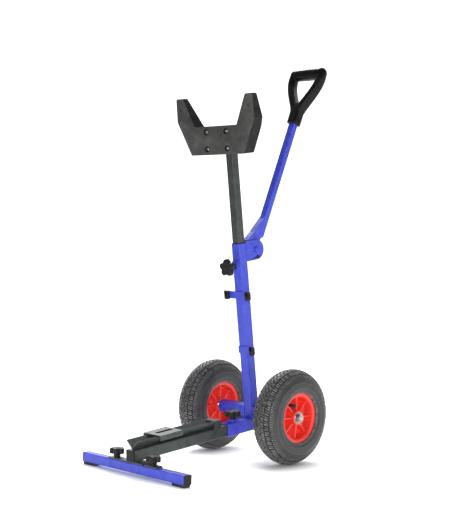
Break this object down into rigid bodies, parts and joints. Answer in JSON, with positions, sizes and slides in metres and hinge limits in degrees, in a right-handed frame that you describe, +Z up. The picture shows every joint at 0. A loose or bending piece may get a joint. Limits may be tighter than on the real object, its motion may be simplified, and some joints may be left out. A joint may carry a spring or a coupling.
{
  "type": "game cart",
  "caption": "Two-wheeled field cart with a leaning telescopic mast, a V yoke on top, a folding D-handle and a telescopic base with a V rail on a cross foot.",
  "frame": {"origin": "on the floor under the middle of the cart's bounding box", "axes": "+X across the cart, along the axle; -Y forward, towards the foot beam; +Z up"},
  "size_m": [0.39, 0.6681, 1.1122],
  "materials": {
    "blue_paint": "semi-gloss powder coat",
    "grey_paint": "satin powder coat",
    "zinc_steel": "bright zinc plate",
    "black_plastic": "moulded, satin",
    "yoke_rubber": "matt, mottled",
    "handle_plastic": "glossy moulded",
    "red_plastic": "glossy moulded",
    "tyre_rubber": "matt rubber",
    "tube_rubber": "smooth rubber",
    "pad_rubber": "matt rubber"
  },
  "bodies": {
    "frame": {"post_tube": "blue_paint", "axle_tube_left": "blue_paint", "axle_tube_right": "blue_paint", "axle_end_plates": "blue_paint", "axle": "zinc_steel", "axle_washers": "zinc_steel", "axle_nuts": "zinc_steel", "socket_tube": "blue_paint", "hinge_cheeks": "blue_paint", "pivot_bolt": "blue_paint", "pivot_nut": "zinc_steel", "pivot_washers": "zinc_steel", "detent_plungers": "black_plastic", "mast_guide": "black_plastic", "post_boss": "blue_paint", "socket_boss": "blue_paint", "upper_clip_strip": "blue_paint", "lower_clip_strip": "blue_paint", "tool_clip_upper_left": "black_plastic", "tool_clip_upper_right": "black_plastic", "tool_clip_lower": "black_plastic"},
    "mast": {"mast_tube": "grey_paint", "mast_caps": "black_plastic", "yoke_plate": "grey_paint", "yoke": "yoke_rubber", "yoke_screws": "zinc_steel", "yoke_nuts": "zinc_steel"},
    "handle": {"arm_tube": "blue_paint", "arm_gusset": "blue_paint", "arm_foot": "blue_paint", "pivot_bush": "black_plastic", "d_handle": "handle_plastic", "handle_screws": "zinc_steel"},
    "post_clamp": {"post_knob": "black_plastic", "post_knob_stud": "zinc_steel"},
    "base_clamp": {"base_knob": "black_plastic", "base_knob_stud": "zinc_steel"},
    "base": {"base_tube": "grey_paint", "base_end_cap": "black_plastic", "v_rail": "grey_paint", "bridge_plate": "grey_paint", "rail_stop": "grey_paint", "foot_plate": "grey_paint", "foot_beam": "blue_paint", "beam_cap_left": "black_plastic", "beam_cap_right": "black_plastic", "foot_pad_left": "pad_rubber", "foot_pad_right": "pad_rubber"},
    "foot_clamp_left": {"foot_knob_left": "black_plastic", "foot_knob_left_stud": "zinc_steel"},
    "foot_clamp_right": {"foot_knob_right": "black_plastic", "foot_knob_right_stud": "zinc_steel"},
    "wheel_left": {"tyre_left": "tyre_rubber", "inner_tube_left": "tube_rubber", "rim_left": "red_plastic", "bearings_left": "zinc_steel"},
    "wheel_right": {"tyre_right": "tyre_rubber", "inner_tube_right": "tube_rubber", "rim_right": "red_plastic", "bearings_right": "zinc_steel"}
  },
  "joints": [
    {"name": "mast_slide", "type": "slide", "parent": "frame", "child": "mast", "axis": [0, -0.1556, 0.9878], "range_m": [-0.22, 0.05]},
    {"name": "handle_fold", "type": "hinge", "parent": "frame", "child": "handle", "pos_m": [0, 0.10226, 0.58228], "axis": [1, 0, 0], "range_deg": [-140, 0]},
    {"name": "post_clamp_turn", "type": "hinge", "parent": "frame", "child": "post_clamp", "pos_m": [0, 0.03753, 0.53564], "axis": [0, -0.9878, -0.1556], "range_deg": [0, 360]},
    {"name": "base_clamp_turn", "type": "hinge", "parent": "frame", "child": "base_clamp", "pos_m": [0, 0.04169, 0.10502], "axis": [0, -0.0983, 0.9952], "range_deg": [0, 360]},
    {"name": "base_slide", "type": "slide", "parent": "frame", "child": "base", "axis": [0, -0.9952, -0.0983], "range_m": [-0.018, 0.09]},
    {"name": "foot_clamp_left_turn", "type": "hinge", "parent": "base", "child": "foot_clamp_left", "pos_m": [-0.07, -0.3149, 0.0356], "axis": [0, 0, 1], "range_deg": [0, 360]},
    {"name": "foot_clamp_right_turn", "type": "hinge", "parent": "base", "child": "foot_clamp_right", "pos_m": [0.07, -0.3149, 0.0356], "axis": [0, 0, 1], "range_deg": [0, 360]},
    {"name": "wheel_left_spin", "type": "hinge", "parent": "frame", "child": "wheel_left", "pos_m": [-0.145, 0.1166, 0.13], "axis": [1, 0, 0], "continuous": true},
    {"name": "wheel_right_spin", "type": "hinge", "parent": "frame", "child": "wheel_right", "pos_m": [0.145, 0.1166, 0.13], "axis": [1, 0, 0], "continuous": true}
  ]
}
